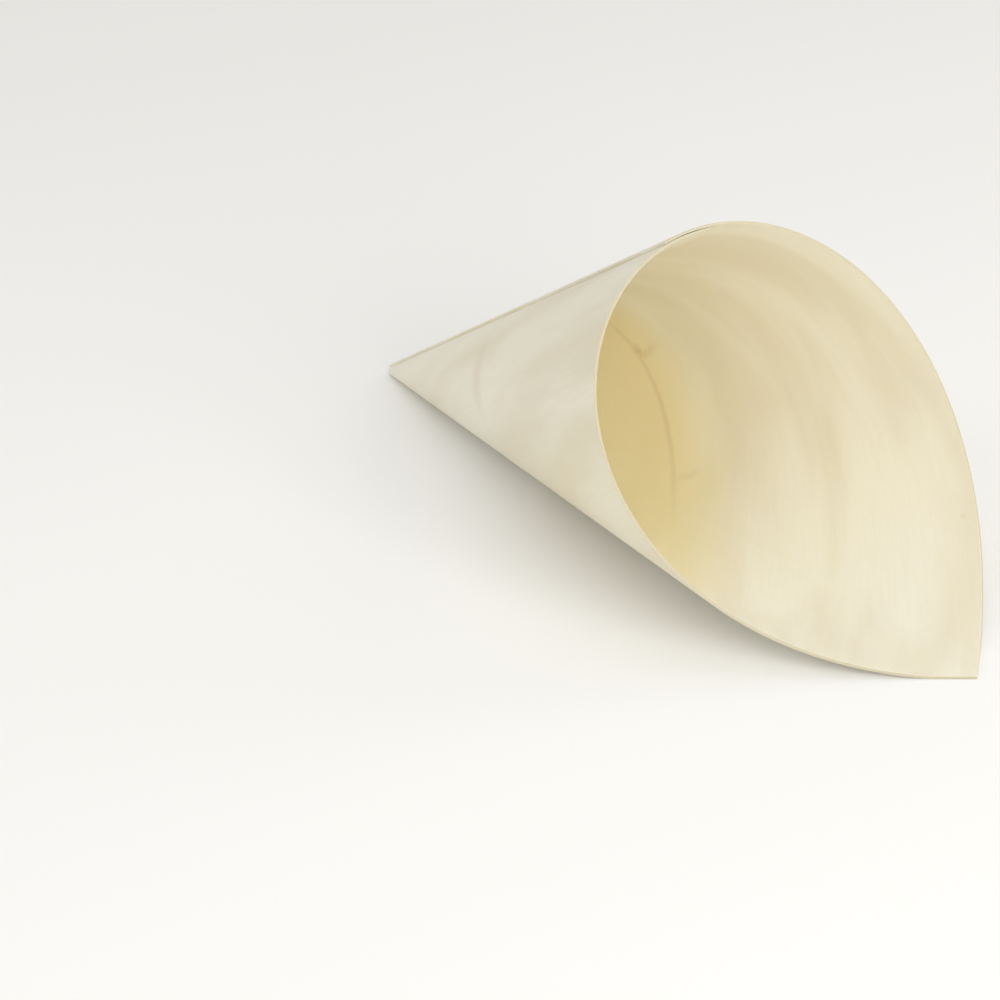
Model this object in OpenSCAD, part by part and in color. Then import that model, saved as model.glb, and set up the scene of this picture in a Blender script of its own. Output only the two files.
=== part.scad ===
// Wooden food cone: one square sheet of thin poplar veneer, rolled from a corner.
// One corner of the square becomes the tip and the opposite corner the pointed lip.
// The two side corners lap over each other in a glued seam, opposite the lip.
// The cone lies on its lip's side, as it comes to rest: X runs from the tip to the lip,
// Z is up, and the origin is on the table under the middle of the whole cone.
// All sizes are in millimetres and degrees.

/* [Sheet] */
// Side of the square veneer sheet
sheet_side = 130; // [90:1:200]
// Thickness of the veneer
sheet_t = 0.5; // [0.4:0.05:0.8]

/* [Seam] */
// Width of the lap between the two side corners, measured on the sheet at the mouth
lap_w = 11; // [8:0.5:36]
// Thickness of the glue line between the two laps
glue_t = 0.1; // [0.1:0.05:0.3]

/* [Rest] */
// Width of the slight flat that the cone lies on, as far from the tip as the side corners
flat_w = 8; // [2:0.5:14]

/* [Tip] */
// Diameter of the pinhole that is left when the corner is rolled up
pinhole_d = 0.2; // [0.2:0.1:3]
// Length of the rounded nose, where the corner is pressed thin
nose_len = 1.2; // [0.8:0.1:3]
// Thickness of the veneer at the very end of the nose
nose_t = 0.2; // [0.15:0.05:0.35]

/* [Fineness] */
// Largest turn between two neighbouring lines of the wall
turn_step = 3; // [2:0.5:6]
// Rows of faces between the nose and the rim
wall_rows = 5; // [3:1:8]

/* [Hidden] */

// A corner of the square holds 90 degrees. The lap takes its share twice, and what is
// left goes once round the cone, which fixes how slim the cone is.
corner_ang = 90;
lap_ang = lap_w / sheet_side * 180 / PI;
half_ang = asin((corner_ang - lap_ang) / 360);
// Turn from the lip to each side corner, a little past the opposite side
lap_turn = corner_ang / 2 / sin(half_ang);
// Turn from the lip's line to each side of the flat
flat_turn = asin(flat_w / 2 / (sheet_side * sin(half_ang)));
// Angle between the middle line and the flat
flat_ang = atan(tan(half_ang) * cos(flat_turn));

// The sheet winds outwards by one thickness and one glue line in each full turn, all
// of it outside the flat
wind = sheet_t + glue_t;
function wind_at(turn) =
    sign(turn) * wind * max(0, abs(turn) - flat_turn) / (360 - 2 * flat_turn);
// Distance from the point where all wall lines meet to the end of the nose, so that
// the innermost lap leaves the pinhole free
nose_s = (pinhole_d / 2 + (wind_at(lap_turn) + sheet_t / 2) * cos(half_ang)) / sin(half_ang);

// The wall's lines, by their turn from the lip: one in the middle of the flat, one at
// each side of it, and the rest evenly from there to the two side corners
side_steps = ceil((lap_turn - flat_turn) / turn_step);
function side_turn(k) = flat_turn + k * (lap_turn - flat_turn) / side_steps;
turns = concat([for (k = [side_steps : -1 : 0]) -side_turn(k)], [0],
               [for (k = [0 : side_steps]) side_turn(k)]);
columns = len(turns) - 1;
// Places of the rows along the nose, as shares of its length: close together at its end
nose_rows = [0, 0.12, 0.45, 1];
nose_last = len(nose_rows) - 1;
rows = nose_last + wall_rows;

// Tips the cone from a level middle line onto its flat
function tilt(p) =
    let (c = cos(flat_ang), s = sin(flat_ang))
    [c * p[0] - s * p[2], p[1], s * p[0] + c * p[2]];
// Direction of the wall line at one turn, one unit long. On the flat, all lines lie in
// one plane, so they run a little closer to the middle line than on a round cone.
function wall_dir(turn) =
    let (r = sin(half_ang) * (abs(turn) < flat_turn ? cos(flat_turn) / cos(turn) : 1),
         p = [cos(half_ang), r * sin(turn), -r * cos(turn)])
    tilt(p / norm(p));
// Outward normal of the wall at one turn: straight down all over the flat
function wall_out(turn) =
    abs(turn) <= flat_turn + 0.001 ? [0, 0, -1]
    : tilt([-sin(half_ang), cos(half_ang) * sin(turn), -cos(half_ang) * cos(turn)]);

// Distance from the tip to the sheet's far edges, at an angle from the diagonal
function edge_dist(ang) = sheet_side / cos(corner_ang / 2 - abs(ang));
// Distance of one row from the meeting point of the wall lines
function row_dist(j, ang) =
    j <= nose_last ? nose_s + nose_rows[j] * nose_len
                   : let (a = nose_s + nose_len)
                     a + (j - nose_last) / wall_rows * (edge_dist(ang) - a);
// Share of the full thickness in one row: the nose is rounded off like a quarter ellipse
function row_full(j) =
    let (x = j <= nose_last ? nose_rows[j] : 1)
    sqrt(1 - pow(1 - x, 2));

// One point of the wall: side 1 is the outer face and side 0 the inner one
function wall_point(i, j, side) =
    let (turn = turns[i],
         t = nose_t + (sheet_t - nose_t) * row_full(j),
         inner = wind_at(turn) - sheet_t / 2)
    row_dist(j, turn * sin(half_ang)) * wall_dir(turn) + (inner + side * t) * wall_out(turn);

// All points, outer face first, then shifted to the origin on the table
raw_pts = [for (side = [1, 0], i = [0 : columns], j = [0 : rows]) wall_point(i, j, side)];
x_lo = min([for (p = raw_pts) p[0]]);
x_hi = max([for (p = raw_pts) p[0]]);
y_lo = min([for (p = raw_pts) p[1]]);
y_hi = max([for (p = raw_pts) p[1]]);
z_lo = min([for (p = raw_pts) p[2]]);
wall_pts = [for (p = raw_pts) p - [(x_lo + x_hi) / 2, (y_lo + y_hi) / 2, z_lo]];

// Number of a point in the list
function id(i, j, side) = (1 - side) * (columns + 1) * (rows + 1) + i * (rows + 1) + j;
// Four-sided face as two triangles
function quad(a, b, c, d) = [[a, c, b], [a, d, c]];

wall_faces = concat(
    // outer face and inner face
    [for (i = [0 : columns - 1], j = [0 : rows - 1])
        each quad(id(i, j, 1), id(i + 1, j, 1), id(i + 1, j + 1, 1), id(i, j + 1, 1))],
    [for (i = [0 : columns - 1], j = [0 : rows - 1])
        each quad(id(i, j, 0), id(i, j + 1, 0), id(i + 1, j + 1, 0), id(i + 1, j, 0))],
    // cut edge at the rim and edge of the nose
    [for (i = [0 : columns - 1])
        each quad(id(i, rows, 1), id(i + 1, rows, 1), id(i + 1, rows, 0), id(i, rows, 0))],
    [for (i = [0 : columns - 1])
        each quad(id(i, 0, 1), id(i, 0, 0), id(i + 1, 0, 0), id(i + 1, 0, 1))],
    // free edges of the inner lap and of the outer lap
    [for (j = [0 : rows - 1])
        each quad(id(0, j, 1), id(0, j + 1, 1), id(0, j + 1, 0), id(0, j, 0))],
    [for (j = [0 : rows - 1])
        each quad(id(columns, j, 1), id(columns, j, 0), id(columns, j + 1, 0), id(columns, j + 1, 1))]
);

// The whole cone is one sheet, so it is one solid
module rolled_veneer() {
    color("#e4dcc2")
        polyhedron(points = wall_pts, faces = wall_faces, convexity = 6);
}

rolled_veneer();
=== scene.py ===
# %% [markdown]
# # Wooden food cone
# A food cone of this kind is one square sheet of poplar veneer, peeled from a log about half a
# millimetre thick. It is wetted, rolled from one corner and glued shut, and nothing else is on
# it. So the lesson has two jobs: to roll a finely divided sheet where the construction model has
# a coarse one, and to paint wood on it that follows the flat sheet, because the grain was there
# before the roll. The construction model is loaded first. It fixes where the cone lies, and how
# big it is.

# %% Load the frame
import math

import bpy
import numpy as np
from mathutils import Matrix, Vector


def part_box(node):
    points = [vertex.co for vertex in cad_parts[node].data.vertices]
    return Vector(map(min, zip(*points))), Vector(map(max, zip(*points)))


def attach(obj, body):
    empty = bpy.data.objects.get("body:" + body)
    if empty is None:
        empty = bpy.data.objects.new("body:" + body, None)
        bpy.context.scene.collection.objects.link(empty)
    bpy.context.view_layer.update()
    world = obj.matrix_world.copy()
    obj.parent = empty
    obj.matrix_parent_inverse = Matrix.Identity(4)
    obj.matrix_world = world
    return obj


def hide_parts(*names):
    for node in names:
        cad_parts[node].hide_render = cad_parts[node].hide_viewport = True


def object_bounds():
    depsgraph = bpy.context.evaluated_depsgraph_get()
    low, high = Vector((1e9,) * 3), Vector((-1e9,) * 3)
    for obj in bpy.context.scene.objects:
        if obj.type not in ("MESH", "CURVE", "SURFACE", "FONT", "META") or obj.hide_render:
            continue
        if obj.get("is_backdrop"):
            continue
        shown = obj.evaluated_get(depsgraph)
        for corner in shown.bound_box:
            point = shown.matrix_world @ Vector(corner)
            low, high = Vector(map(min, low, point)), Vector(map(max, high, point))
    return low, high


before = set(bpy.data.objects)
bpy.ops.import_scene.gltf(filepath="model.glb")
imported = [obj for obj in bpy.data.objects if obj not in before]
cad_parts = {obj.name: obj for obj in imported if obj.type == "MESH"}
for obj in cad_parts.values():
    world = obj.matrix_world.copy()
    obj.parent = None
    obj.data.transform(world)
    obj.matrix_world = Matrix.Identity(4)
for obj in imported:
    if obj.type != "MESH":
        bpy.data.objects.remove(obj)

cad_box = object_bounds()
veneer_box = [np.array(corner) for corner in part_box("rolled_veneer")]
box_size = (veneer_box[1] - veneer_box[0]) * 1000
print("The cone fills this box, in millimetres:", box_size.round(1))

# %% [markdown]
# ## The sheet before it is rolled
# A square sheet has two sizes that matter, its side and its thickness. The third number, the
# width of the lap, settles how slim the cone gets: the corner of the square holds a quarter turn,
# the two laps share a little of it, and what is left has to go once round. The slight flat is the
# strip that the cone lies on. The sizes are those of the construction model, in metres.

# %% Name the sizes of the sheet
MM = 0.001
SHEET_SIDE = 130 * MM
SHEET_THICK = 0.5 * MM
LAP_WIDTH = 11 * MM
GLUE_THICK = 0.1 * MM
PRESSED_SHARE = 0.9
FLAT_WIDTH = 8 * MM
PINHOLE = 0.2 * MM
NOSE_LENGTH = 1.2 * MM
NOSE_THICK = 0.2 * MM

CORNER = math.pi / 2
half_angle = math.asin((CORNER - LAP_WIDTH / SHEET_SIDE) / (2 * math.pi))
lap_turn = CORNER / 2 / math.sin(half_angle)
flat_turn = math.asin(FLAT_WIDTH / 2 / (SHEET_SIDE * math.sin(half_angle)))
flat_angle = math.atan(math.tan(half_angle) * math.cos(flat_turn))
print("Half angle of the cone:", round(math.degrees(half_angle), 2), "degrees")
print("The sheet turns", round(math.degrees(lap_turn), 1), "degrees to each side of the lip")

# %% [markdown]
# ## Rolling the sheet
# A sheet of wood bends but doesn't stretch, so every point keeps its distance from the corner,
# and the angle at that corner becomes a turn round the cone. That makes the wall a function of
# two parameters: the turn away from the lip, and the distance from the corner. The third number
# only says how far through the thickness the point lies. Modelling it with a cone and a boolean
# would lose the seam, the winding and the flat sheet's coordinates, which the grain needs later.


# %% Write the roll as functions
def drift(turn):
    """How far the sheet moves outwards as it winds: one thickness and one glue line in each
    full turn, evenly, outside the flat."""
    share = np.maximum(np.abs(turn) - flat_turn, 0) / (2 * math.pi - 2 * flat_turn)
    return np.sign(turn) * share * (SHEET_THICK + GLUE_THICK)


def winding(turn):
    """The drift, less what the laps give where they are pressed together: nothing in the
    middle of the seam, and most of the glue's thickness at each free edge, along a smooth step."""
    pressed = np.clip((np.abs(turn) - math.pi) / (lap_turn - math.pi), 0, 1)
    given = PRESSED_SHARE * GLUE_THICK * pressed**2 * (3 - 2 * pressed)
    return drift(turn) - np.sign(turn) * given


def lay_down(points):
    """Turns points about the side-to-side axis by the angle of the flat, which lays it level."""
    x, y, z = points[..., 0], points[..., 1], points[..., 2]
    c, s = math.cos(flat_angle), math.sin(flat_angle)
    return np.stack([c * x - s * z, y, s * x + c * z], axis=-1)


def wall_line(turn):
    """Unit direction of the wall at a turn: along the middle line by the cosine of the half
    angle, away from it by the sine, and on the flat a little less, because all its lines lie in
    one plane."""
    on_flat = np.where(np.abs(turn) < flat_turn, math.cos(flat_turn) / np.cos(turn), 1.0)
    reach = math.sin(half_angle) * on_flat
    forwards = np.full_like(turn, math.cos(half_angle))
    line = np.stack([forwards, reach * np.sin(turn), -reach * np.cos(turn)], axis=-1)
    return lay_down(line / np.linalg.norm(line, axis=-1, keepdims=True))


def wall_outwards(turn):
    """Unit direction out of the wall at a turn: square to the wall line on the round part, and
    straight down on the flat."""
    backwards, away = np.full_like(turn, -math.sin(half_angle)), math.cos(half_angle)
    out = lay_down(np.stack([backwards, away * np.sin(turn), -away * np.cos(turn)], axis=-1))
    on_flat = np.abs(turn) <= flat_turn + 1e-6
    return np.where(on_flat[..., None], np.array([0.0, 0.0, -1.0]), out)


def sheet_angle(turn):
    """Angle at the flat sheet's corner that becomes this turn: the turn times the sine of the
    half angle."""
    return turn * math.sin(half_angle)


def rim_distance(turn):
    """Distance from the corner to the far sides of the square: its side over the cosine of the
    angle to the nearer edge."""
    return SHEET_SIDE / np.cos(CORNER / 2 - np.abs(sheet_angle(turn)))


nose_distance = (
    PINHOLE / 2 + (float(drift(lap_turn)) + SHEET_THICK / 2) * math.cos(half_angle)
) / math.sin(half_angle)
print("The nose ends", round(nose_distance / MM, 2), "mm from the point where all wall lines meet")

# %% [markdown]
# ## The section of the sheet
# Cut through along one wall line, the sheet is a long thin loop: out along the outer face, across
# the cut edge at the rim, back along the inner face, and across the pressed end at the nose.
# Carrying that loop round the roll gives both faces and both edges at once, with no seam between
# them. A knife leaves a crisp edge, so its corners are broken by only a twentieth of a
# millimetre, enough to catch a thread of light.

# %% Lay out the loop and the turns
WALL_ROWS = 58
NOSE_ROWS = 7
COLUMNS_PER_SIDE = 190
FLAT_COLUMNS = 4
BROKEN_CORNER = 0.05 * MM

nose_share = 1 - np.cos(np.linspace(0, math.pi / 2, NOSE_ROWS))
wall_share = np.linspace(0, 1, WALL_ROWS + 1)[1:]
side_turns = np.concatenate(
    [
        np.linspace(0, flat_turn, FLAT_COLUMNS, endpoint=False),
        np.linspace(flat_turn, lap_turn, COLUMNS_PER_SIDE),
    ]
)
turns = np.concatenate([-side_turns[:0:-1], side_turns])
rim = rim_distance(turns)

nose_rows = nose_distance + nose_share[:, None] * NOSE_LENGTH + 0 * turns
wall_start = nose_distance + NOSE_LENGTH
wall_rows = wall_start + wall_share[:, None] * (rim - BROKEN_CORNER - wall_start)
face_distance = np.vstack([nose_rows, wall_rows])
# The nose thins towards its end along a quarter of an ellipse
fullness = np.sqrt(1 - (1 - np.concatenate([nose_share, np.ones(WALL_ROWS)])) ** 2)
thickness = (NOSE_THICK + (SHEET_THICK - NOSE_THICK) * fullness)[:, None] + 0 * turns

outer_depth, inner_depth = -SHEET_THICK / 2 + thickness, np.full_like(thickness, -SHEET_THICK / 2)
rim_corner = SHEET_THICK / 2 - BROKEN_CORNER
loop_distance = np.vstack([face_distance, rim, rim, face_distance[::-1]])
loop_depth = np.vstack(
    [outer_depth, 0 * turns + rim_corner, 0 * turns - rim_corner, inner_depth[::-1]]
)
print("The loop has", len(loop_distance), "points and is carried through", len(turns), "turns")

# %% [markdown]
# ## Making the mesh
# The two arrays now hold, for each point of the loop at each turn, how far it is from the corner
# and how deep in the wall. The formulas turn them into places in one step, with no loop over the
# points. The free edges of the two laps are closed with strips between the outer and the inner
# row. The flat sheet's own coordinates go into a UV map, in metres, so that a pattern can be laid
# on the sheet as it was before the roll, and a face attribute marks the edges that a knife has
# cut.

# %% Build the rolled veneer
loop_points, column_count = loop_distance.shape
turn_grid = np.broadcast_to(turns, loop_distance.shape)
places = (
    loop_distance[..., None] * wall_line(turn_grid)
    + (winding(turn_grid) + loop_depth)[..., None] * wall_outwards(turn_grid)
)
lowest, highest = places.min(axis=(0, 1)), places.max(axis=(0, 1))
middle = [(lowest[0] + highest[0]) / 2, (lowest[1] + highest[1]) / 2, lowest[2]]
box_middle = (veneer_box[0] + veneer_box[1]) / 2
places = places - middle + [box_middle[0], box_middle[1], veneer_box[0][2]]

angle_grid = sheet_angle(turn_grid)
flat_directions = np.stack([np.cos(angle_grid), np.sin(angle_grid)], axis=-1)
flat_sheet = loop_distance[..., None] * flat_directions

corner_of = np.arange(loop_points * column_count).reshape(loop_points, column_count)
next_point = np.roll(corner_of, -1, axis=0)
around = np.stack(
    [corner_of[:, :-1], corner_of[:, 1:], next_point[:, 1:], next_point[:, :-1]], axis=-1
).reshape(-1, 4)
half_loop = loop_points // 2
outer_rows, inner_rows = corner_of[:half_loop], corner_of[: half_loop - 1 : -1]
lap_edges = []
for column, order in ((0, 1), (column_count - 1, -1)):
    outer, inner = outer_rows[:, column], inner_rows[:, column]
    strip = np.stack([outer[:-1], outer[1:], inner[1:], inner[:-1]], axis=-1)
    lap_edges.append(strip[:, ::order])
quads = np.vstack([around, *lap_edges])

mesh = bpy.data.meshes.new("rolled_sheet")
mesh.from_pydata(places.reshape(-1, 3), [], quads)
corner_vertices = np.empty(len(mesh.loops), dtype=np.int32)
mesh.loops.foreach_get("vertex_index", corner_vertices)
sheet_map = mesh.uv_layers.new(name="flat_sheet")
sheet_map.uv.foreach_set("vector", flat_sheet.reshape(-1, 2)[corner_vertices].ravel())

ring = np.repeat(np.arange(loop_points), column_count - 1)
face_marks = {
    "cut_edge": (ring >= half_loop - 2) & (ring <= half_loop),
    "inner_face": ring > half_loop,
}
for name, on_ring in face_marks.items():
    marked_faces = np.zeros(len(quads), dtype=np.float32)
    marked_faces[: len(ring)] = on_ring
    mesh.attributes.new(name, "FLOAT", "FACE").data.foreach_set("value", marked_faces)
mesh.polygons.foreach_set("use_smooth", np.ones(len(quads), dtype=bool))
mesh.set_sharp_from_angle(angle=math.radians(40))
mesh.update()

rolled_sheet = bpy.data.objects.new("rolled_sheet", mesh)
bpy.context.collection.objects.link(rolled_sheet)
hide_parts("rolled_veneer")
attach(rolled_sheet, "root")
print("The rolled sheet has", 2 * len(quads), "triangles")

# %% [markdown]
# ## Tools for the finish
# Colours are written as sRGB hex values, as a colour picker shows them, and one function turns
# them into the linear values that the shader wants. Another one adds a node to a material, with
# its settings and its links, so that each line below reads as one step of the recipe.


# %% Write the two helpers
def linear(hex_colour):
    """sRGB hex to linear RGBA: each channel over 12.92 near black, and otherwise
    ((channel + 0.055) / 1.055) to the power 2.4."""
    channels = [int(hex_colour[place : place + 2], 16) / 255 for place in (1, 3, 5)]
    return [c / 12.92 if c <= 0.04045 else ((c + 0.055) / 1.055) ** 2.4 for c in channels] + [1.0]


def add(tree, kind, inputs=None, **settings):
    """Adds a node of this kind to the tree and gives it back. Settings are its own options.
    Inputs go to its sockets, by name or number: a plain value, another node's output, or a node
    for its first output."""
    made = tree.nodes.new("ShaderNode" + kind)
    for name, value in settings.items():
        setattr(made, name, value)
    for key, value in (inputs or {}).items():
        in_use = [socket for socket in made.inputs if socket.enabled]
        socket = in_use[key] if isinstance(key, int) else next(s for s in in_use if s.name == key)
        if isinstance(value, bpy.types.Node):
            value = next(output for output in value.outputs if output.enabled)
        if isinstance(value, bpy.types.NodeSocket):
            tree.links.new(value, socket)
        else:
            socket.default_value = value
    return made


print("Example: the cream #EFE6CE is", [round(c, 3) for c in linear("#EFE6CE")[:3]], "linear")

# %% [markdown]
# ## Which way the grain runs
# A veneer knife peels the log round and round, and the sheets are stamped from the ribbon. On
# this cone a thin brown growth line shows inside, and it runs straight, at about 40 degrees to
# the line from tip to lip, so the grain is laid along it. All patterns below start from two
# coordinates in millimetres: one along the grain and one across it, both on the flat sheet.

# %% Lay out the grain
GRAIN_ANGLE = math.radians(-40.5)

veneer = bpy.data.materials.new("rotary-cut poplar veneer")
veneer.use_nodes = True
tree = veneer.node_tree
tree.nodes.clear()
flat_place = add(tree, "UVMap", uv_map="flat_sheet")
grain_place = add(
    tree,
    "Mapping",
    {"Vector": flat_place, "Rotation": (0, 0, -GRAIN_ANGLE), "Scale": (1 / MM, 1 / MM, 1)},
)
print("Grain against the line from tip to lip:", round(math.degrees(GRAIN_ANGLE), 1), "degrees")

# %% [markdown]
# ## Plain poplar
# Poplar is a pale, even wood. Peeled from the log, it shows broad soft bands where the knife
# crosses the year rings at a shallow angle, and fine short flecks along the grain, which are the
# vessels cut open lengthwise. Both are noise, stretched along the grain: bands about 60 mm long
# and 14 mm wide, and flecks about 12 mm long and 0.6 mm wide. Real vessels are a tenth of a
# millimetre wide, too fine to show, so the flecks are drawn as wide as they need to be. The bands
# are barely a shade apart, which is what makes the wood look clean.

# %% Mix the bands and the flecks
BAND_LENGTH, BAND_WIDTH = 60.0, 14.0
FLECK_LENGTH, FLECK_WIDTH = 12.0, 0.6

band_place = add(
    tree, "Mapping", {"Vector": grain_place, "Scale": (1 / BAND_LENGTH, 1 / BAND_WIDTH, 1)}
)
bands = add(
    tree, "TexNoise", {"Vector": band_place, "Scale": 1.0, "Detail": 3.0, "Distortion": 0.4}
)
band_share = add(
    tree,
    "MapRange",
    {"Value": bands, "From Min": 0.35, "From Max": 0.65},
    interpolation_type="SMOOTHSTEP",
)
fleck_place = add(
    tree, "Mapping", {"Vector": grain_place, "Scale": (1 / FLECK_LENGTH, 1 / FLECK_WIDTH, 1)}
)
flecks = add(
    tree, "TexNoise", {"Vector": fleck_place, "Scale": 1.0, "Detail": 4.0, "Roughness": 0.6}
)
fleck_share = add(
    tree, "MapRange", {"Value": flecks, "From Min": 0.45, "From Max": 0.75, "To Max": 0.16}
)
banded = add(
    tree,
    "Mix",
    {"Factor": band_share, "A": linear("#EAE6D6"), "B": linear("#E1DAC4")},
    data_type="RGBA",
)
plain_wood = add(
    tree,
    "Mix",
    {"Factor": fleck_share, "A": banded, "B": linear("#D9CFAC")},
    data_type="RGBA",
)
print("The plain wood takes", len(tree.nodes), "nodes")

# %% [markdown]
# ## Ragged edges and two faces
# The photograph shows a few marks of the living tree, and they are what makes this cone this one.
# They were brought back to the flat sheet, so each one has a place along and across the grain.
# Sap spreads along the fibres, so no mark has a clean edge: a little noise shakes the place where
# it is looked up, more along the grain than across it. A mark belongs to one face of the veneer,
# and a quarter of its strength shows through on the other.

# %% Shake the grain's coordinates and tell the faces apart
SHAKE_ALONG, SHAKE_ACROSS = 2.0, 0.6
SHOWS_THROUGH = 0.25

fibre_noise = add(tree, "TexNoise", {"Vector": grain_place, "Scale": 0.55, "Detail": 3.0})
shake = add(
    tree,
    "VectorMath",
    {0: fibre_noise.outputs["Color"], 1: (-0.5, -0.5, -0.5)},
    operation="ADD",
)
ragged_place = add(
    tree,
    "VectorMath",
    {0: shake, 1: (SHAKE_ALONG, SHAKE_ACROSS, 0.0), 2: grain_place},
    operation="MULTIPLY_ADD",
)
split_place = add(tree, "SeparateXYZ", {"Vector": ragged_place})
along, across = split_place.outputs["X"], split_place.outputs["Y"]

inner_face = add(tree, "Attribute", attribute_name="inner_face").outputs["Fac"]
shares_by_face = {"inside": (SHOWS_THROUGH, 1.0), "outside": (1.0, SHOWS_THROUGH)}
face_share = {
    face: add(tree, "MapRange", {"Value": inner_face, "To Min": on_outer, "To Max": on_inner})
    for face, (on_outer, on_inner) in shares_by_face.items()
}
print("A mark's share on the outer and the inner face:", shares_by_face)

# %% [markdown]
# ## The growth line
# Inside runs a thin brown line, where the tree put on darker wood for a season. It is strongest
# near its start and fades out towards the rim. It sways slowly, like a sine with a period of
# 100 mm, and its strength falls off smoothly to both sides of its middle.

# %% Paint the growth line
LINE_ACROSS, LINE_SWAY, LINE_PERIOD, LINE_MIDDLE = 65.75, 0.6, 100.0, 75.0
LINE_HALF_WIDTH, LINE_STRENGTH, FADED_SHARE = 0.95, 0.16, 0.15
LINE_START, LINE_FULL, LINE_WANES, LINE_FADED = 22.0, 31.0, 55.0, 80.0

turns_of_sway = 2 * math.pi / LINE_PERIOD
phase = add(
    tree,
    "Math",
    {0: along, 1: turns_of_sway, 2: -LINE_MIDDLE * turns_of_sway},
    operation="MULTIPLY_ADD",
)
sway = add(tree, "Math", {0: phase}, operation="SINE")
line_across = add(tree, "Math", {0: sway, 1: LINE_SWAY, 2: LINE_ACROSS}, operation="MULTIPLY_ADD")
past_line = add(tree, "Math", {0: across, 1: line_across}, operation="SUBTRACT")
from_line = add(tree, "Math", {0: past_line}, operation="ABSOLUTE")
line_core = add(
    tree,
    "MapRange",
    {"Value": from_line, "From Max": LINE_HALF_WIDTH, "To Min": LINE_STRENGTH, "To Max": 0.0},
    interpolation_type="SMOOTHSTEP",
)
line_begins = add(
    tree, "MapRange", {"Value": along, "From Min": LINE_START, "From Max": LINE_FULL}
)
line_fades = add(
    tree,
    "MapRange",
    {
        "Value": along,
        "From Min": LINE_WANES,
        "From Max": LINE_FADED,
        "To Min": 1.0,
        "To Max": FADED_SHARE,
    },
)
line_length = add(tree, "Math", {0: line_begins, 1: line_fades}, operation="MULTIPLY")
line = add(tree, "Math", {0: line_core, 1: line_length}, operation="MULTIPLY")
stain = add(tree, "Math", {0: line, 1: face_share["inside"]}, operation="MULTIPLY")
print("The growth line runs", LINE_ACROSS, "mm across the grain from the tip")

# %% [markdown]
# ## The spots
# A small dark star sits on the line, with an arm, and further on a short branch leaves it. The
# outside has a soft brown smudge, and there is one pinkish speck by the rim. Each one is a round
# spot, stretched along or across the grain and fading smoothly outwards. Where spots overlap, the
# darker one wins, so that they don't add up to a blot.

# %% Add the spots
# Each spot: face, place along and across the grain, half length, half width, strength
SPOTS = {
    "star": ("inside", 33.4, 66.0, 1.9, 1.5, 0.30),
    "arm of the star": ("inside", 34.7, 68.4, 1.1, 3.6, 0.16),
    "branch": ("inside", 63.6, 68.4, 1.3, 3.4, 0.11),
    "smudge": ("outside", 66.0, 16.5, 3.6, 8.0, 0.14),
    "speck by the rim": ("inside", 98.3, 120.1, 0.8, 0.8, 0.15),
}
for name, (face, spot_along, spot_across, half_length, half_width, strength) in SPOTS.items():
    spot_place = add(
        tree,
        "Mapping",
        {
            "Vector": ragged_place,
            "Location": (-spot_along / half_length, -spot_across / half_width, 0),
            "Scale": (1 / half_length, 1 / half_width, 0),
        },
    )
    from_spot = add(tree, "VectorMath", {0: spot_place}, operation="LENGTH")
    spot = add(
        tree,
        "MapRange",
        {"Value": from_spot.outputs["Value"], "From Max": 1.3, "To Min": strength, "To Max": 0.0},
        interpolation_type="SMOOTHSTEP",
    )
    spot_on_face = add(tree, "Math", {0: spot, 1: face_share[face]}, operation="MULTIPLY")
    stain = add(tree, "Math", {0: stain, 1: spot_on_face}, operation="MAXIMUM")
    print(face, name, "at", spot_along, "mm along the grain and", spot_across, "mm across it")

# %% [markdown]
# ## Painted shade deep in the cone, by the line
# On the tip's side of the growth line, deeper in the cone, the wall gets a painted shade: the wood
# is painted darker and yellower there, and it pales again past the line and towards the tip. So
# the plain wood gets this painted shade between two soft borders, and the brown of the line and
# the spots goes over it last.

# %% Paint the shade deep in the cone and lay the marks over it
PAINTED_SHADE_SHARE = 0.75
PAINTED_SHADE_FROM, PAINTED_SHADE_FULL = 25.0, 50.0
PAST_LINE_FROM, PAST_LINE_TO = -1.0, 15.0

# Painted shade: darker, yellower wood on the tip's side of the growth line, deep in the cone
shade_side = add(
    tree,
    "MapRange",
    {
        "Value": past_line,
        "From Min": PAST_LINE_FROM,
        "From Max": PAST_LINE_TO,
        "To Min": 1.0,
        "To Max": 0.0,
    },
    interpolation_type="SMOOTHSTEP",
)
shade_start = add(
    tree,
    "MapRange",
    {"Value": across, "From Min": PAINTED_SHADE_FROM, "From Max": PAINTED_SHADE_FULL, "To Max": PAINTED_SHADE_SHARE},
    interpolation_type="SMOOTHSTEP",
)
shade_area = add(tree, "Math", {0: shade_side, 1: shade_start}, operation="MULTIPLY")
painted_shade = add(tree, "Math", {0: shade_area, 1: face_share["inside"]}, operation="MULTIPLY")
# The painted shade's colour, a darker and yellower cream than the plain wood
shaded_wood = add(
    tree, "Mix", {"Factor": painted_shade, "A": plain_wood, "B": linear("#E7D8A4")}, data_type="RGBA"
)
marked = add(tree, "Mix", {"Factor": stain, "A": shaded_wood, "B": linear("#A5732A")}, data_type="RGBA")
print("The wood with its marks takes", len(tree.nodes), "nodes")

# %% [markdown]
# ## From colour to surface
# Dry veneer is matt, with a faint silk along the fibres. It is so thin that light soaks into it
# and comes out again beside and behind, which keeps the shaded inside warm instead of grey, so
# the shader scatters light below the surface over half a millimetre. The vessels leave shallow
# grooves of a few hundredths of a millimetre, and the face as a whole dries a little uneven. The
# cut edge at the rim shows the ends of the fibres, which swallow light, so it is a shade darker;
# it is painted darker still, a painted shade that keeps the edge facing the front lamp from
# shining brighter than the faces.

# %% Finish the material
GROOVE_DEPTH, WAVE_HEIGHT = 0.04 * MM, 0.3 * MM
WAVE_LENGTH, WAVE_WIDTH = 45.0, 22.0

# The cut edge's colour: partly the darker end grain, partly painted shade against the front lamp's
# light
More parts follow.
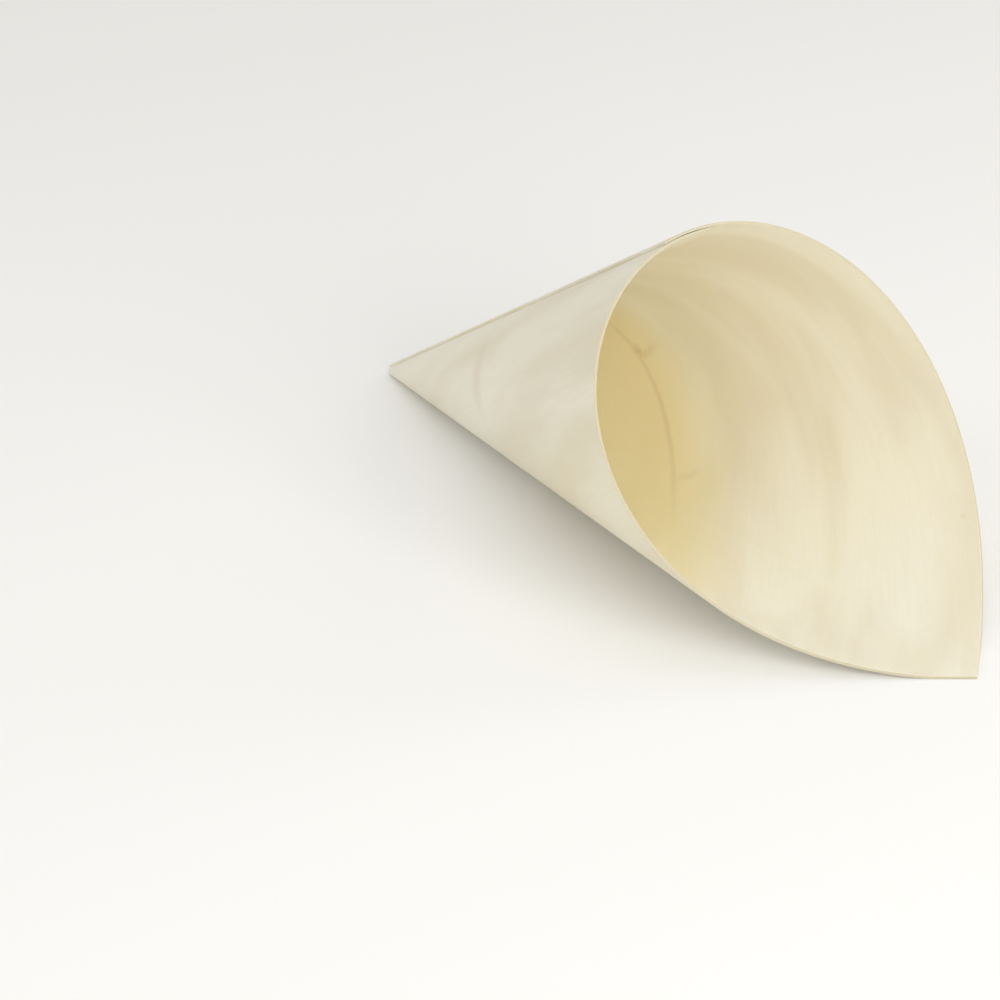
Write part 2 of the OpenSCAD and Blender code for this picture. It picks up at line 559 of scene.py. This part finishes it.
cut = add(tree, "Attribute", attribute_name="cut_edge")
wood_colour = add(
    tree,
    "Mix",
    {"Factor": cut.outputs["Fac"], "A": marked, "B": linear("#BDB59C")},
    data_type="RGBA",
)
grooves = add(tree, "Bump", {"Height": flecks, "Strength": 0.5, "Distance": GROOVE_DEPTH})
wave_place = add(
    tree, "Mapping", {"Vector": grain_place, "Scale": (1 / WAVE_LENGTH, 1 / WAVE_WIDTH, 1)}
)
waves = add(tree, "TexNoise", {"Vector": wave_place, "Scale": 1.0, "Detail": 1.0})
uneven = add(tree, "Bump", {"Height": waves, "Distance": WAVE_HEIGHT, "Normal": grooves})
shader = add(
    tree,
    "BsdfPrincipled",
    {
        "Base Color": wood_colour,
        "Normal": uneven,
        "Roughness": 0.62,
        "IOR": 1.5,
        "Specular IOR Level": 0.4,
        "Subsurface Weight": 0.35,
        "Subsurface Radius": (1.0, 0.9, 0.6),
        "Subsurface Scale": 0.5 * MM,
    },
)
add(tree, "OutputMaterial", {"Surface": shader})
rolled_sheet.data.materials.append(veneer)
print("The veneer's material has", len(tree.nodes), "nodes")

# %% [markdown]
# ## The table and the light
# The cone was photographed on white, in light that comes from all round. A bright plain sky gives
# most of it. A soft lamp in front of the mouth lights the inside, where the sky hardly reaches, a
# wide one overhead keeps the floor pale, and two weak ones at the back and on the left round off
# the outside. The floor is a shade below white on purpose: a whiter one throws so much light back
# up that the underside gets as bright as the top, and the roll no longer reads as round. The
# lamps are large against the cone, so no shadow has a hard edge.

# %% Set up the floor, the sky and the lamps
FLOOR_HALF_WIDTH = 6.0
floor_mesh = bpy.data.meshes.new("white_floor")
floor_corners = [
    (x * FLOOR_HALF_WIDTH, y * FLOOR_HALF_WIDTH, 0) for x, y in ((-1, -1), (1, -1), (1, 1), (-1, 1))
]
floor_mesh.from_pydata(floor_corners, [], [(0, 1, 2, 3)])
floor = bpy.data.objects.new("white_floor", floor_mesh)
bpy.context.collection.objects.link(floor)
floor_paint = bpy.data.materials.new("matt white paint")
floor_paint.use_nodes = True
floor_shader = floor_paint.node_tree.nodes["Principled BSDF"]
floor_shader.inputs["Base Color"].default_value = linear("#EFEFEE")
floor_shader.inputs["Roughness"].default_value = 0.9
floor_mesh.materials.append(floor_paint)
floor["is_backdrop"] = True

sky = bpy.data.worlds.new("plain studio sky")
sky.use_nodes = True
sky_light = sky.node_tree.nodes["Background"]
sky_light.inputs["Color"].default_value = linear("#FFFDF8")
sky_light.inputs["Strength"].default_value = 0.63
bpy.context.scene.world = sky

# All lamps face one point inside the cone. Each lamp: place, width and watts
LAMP_TARGET = Vector((0, 0, 0.03))
LAMPS = {
    "soft_lamp_front": ((1.0, -0.15, 0.45), 0.6, 8.9),
    "soft_lamp_overhead": ((0.2, 0.2, 2.4), 1.6, 5.6),
    "soft_lamp_back": ((0.2, 1.0, 0.7), 0.6, 1.0),
    "soft_lamp_left": ((-0.6, -0.8, 0.5), 0.5, 1.5),
}
for name, (lamp_place, width, watts) in LAMPS.items():
    light = bpy.data.lights.new(name, "AREA")
    light.shape, light.size, light.energy = "SQUARE", width, watts
    lamp = bpy.data.objects.new(name, light)
    lamp.location = lamp_place
    lamp.rotation_mode = "QUATERNION"
    lamp.rotation_quaternion = (LAMP_TARGET - Vector(lamp_place)).to_track_quat("-Z", "Y")
    bpy.context.collection.objects.link(lamp)
    print(name, "at", lamp_place)
bpy.context.scene.view_settings.view_transform = "Standard"

# %% [markdown]
# ## The camera
# A rolled square was fitted to the outline in the photograph, and the fit gives the camera: half
# a metre away, with a short telephoto view, looking down by about 25 degrees and turned a little
# about its own axis. It is set up from those numbers. The picture is square, so the lens is
# reckoned for a sensor that is as high as it is wide.

# %% Place the camera
CAMERA_PLACE = (0.41381, -0.27315, 0.23949)
LOOK_HEADING = math.radians(149.662)
LOOK_DOWN = math.radians(25.334)
LOOK_ROLL = math.radians(-7.164)
SENSOR = 36.0
FOCAL_PIXELS, PICTURE_PIXELS = 2982.6, 1000

forward = Vector(
    (
        math.cos(LOOK_DOWN) * math.cos(LOOK_HEADING),
        math.cos(LOOK_DOWN) * math.sin(LOOK_HEADING),
        -math.sin(LOOK_DOWN),
    )
)
level_right = Vector((math.sin(LOOK_HEADING), -math.cos(LOOK_HEADING), 0))
level_up = level_right.cross(forward)
right = level_right * math.cos(LOOK_ROLL) + level_up * math.sin(LOOK_ROLL)
up = right.cross(forward)

lens = bpy.data.cameras.new("photograph_view")
lens.sensor_width = SENSOR
lens.lens = FOCAL_PIXELS / PICTURE_PIXELS * SENSOR
lens.clip_start, lens.clip_end = 0.01, 50
camera = bpy.data.objects.new("photograph_view", lens)
camera_turn = Matrix((right, up, -forward)).transposed().to_4x4()
camera.matrix_world = Matrix.Translation(CAMERA_PLACE) @ camera_turn
bpy.context.collection.objects.link(camera)
bpy.context.scene.camera = camera
print("Lens:", round(lens.lens, 1), "mm")

# %% Print the sizes and finish
sizes = {
    "cad": [list(corner) for corner in cad_box],
    "visual": [list(corner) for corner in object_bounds()],
}
for name, (low, high) in sizes.items():
    print(name, [round((b - a) / MM, 2) for a, b in zip(low, high)])
